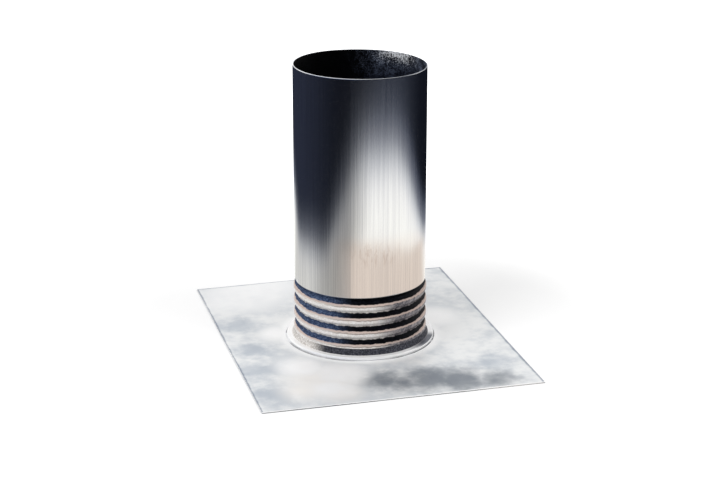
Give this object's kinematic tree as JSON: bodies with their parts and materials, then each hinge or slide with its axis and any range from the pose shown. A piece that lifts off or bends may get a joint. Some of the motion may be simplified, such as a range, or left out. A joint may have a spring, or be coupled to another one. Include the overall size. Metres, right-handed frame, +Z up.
{
  "type": "pipe flashing boot",
  "caption": "Aluminium roof flashing for a vent pipe: an upright drawn sleeve with a corrugated, bendable neck, lock-seamed to a flat rectangular base plate.",
  "frame": {"origin": "on the sleeve's axis, at the underside of the base plate", "axes": "+Z up the sleeve, away from the roof deck; X across the plate; Y along the plate's longer side, up and down the roof's slope"},
  "size_m": [0.25, 0.305, 0.254],
  "materials": {
    "drawn_aluminium": "drawn bright",
    "sheet_aluminium": "mill"
  },
  "bodies": {
    "root": {"corrugated_sleeve": "drawn_aluminium", "base_plate": "sheet_aluminium"}
  },
  "joints": []
}
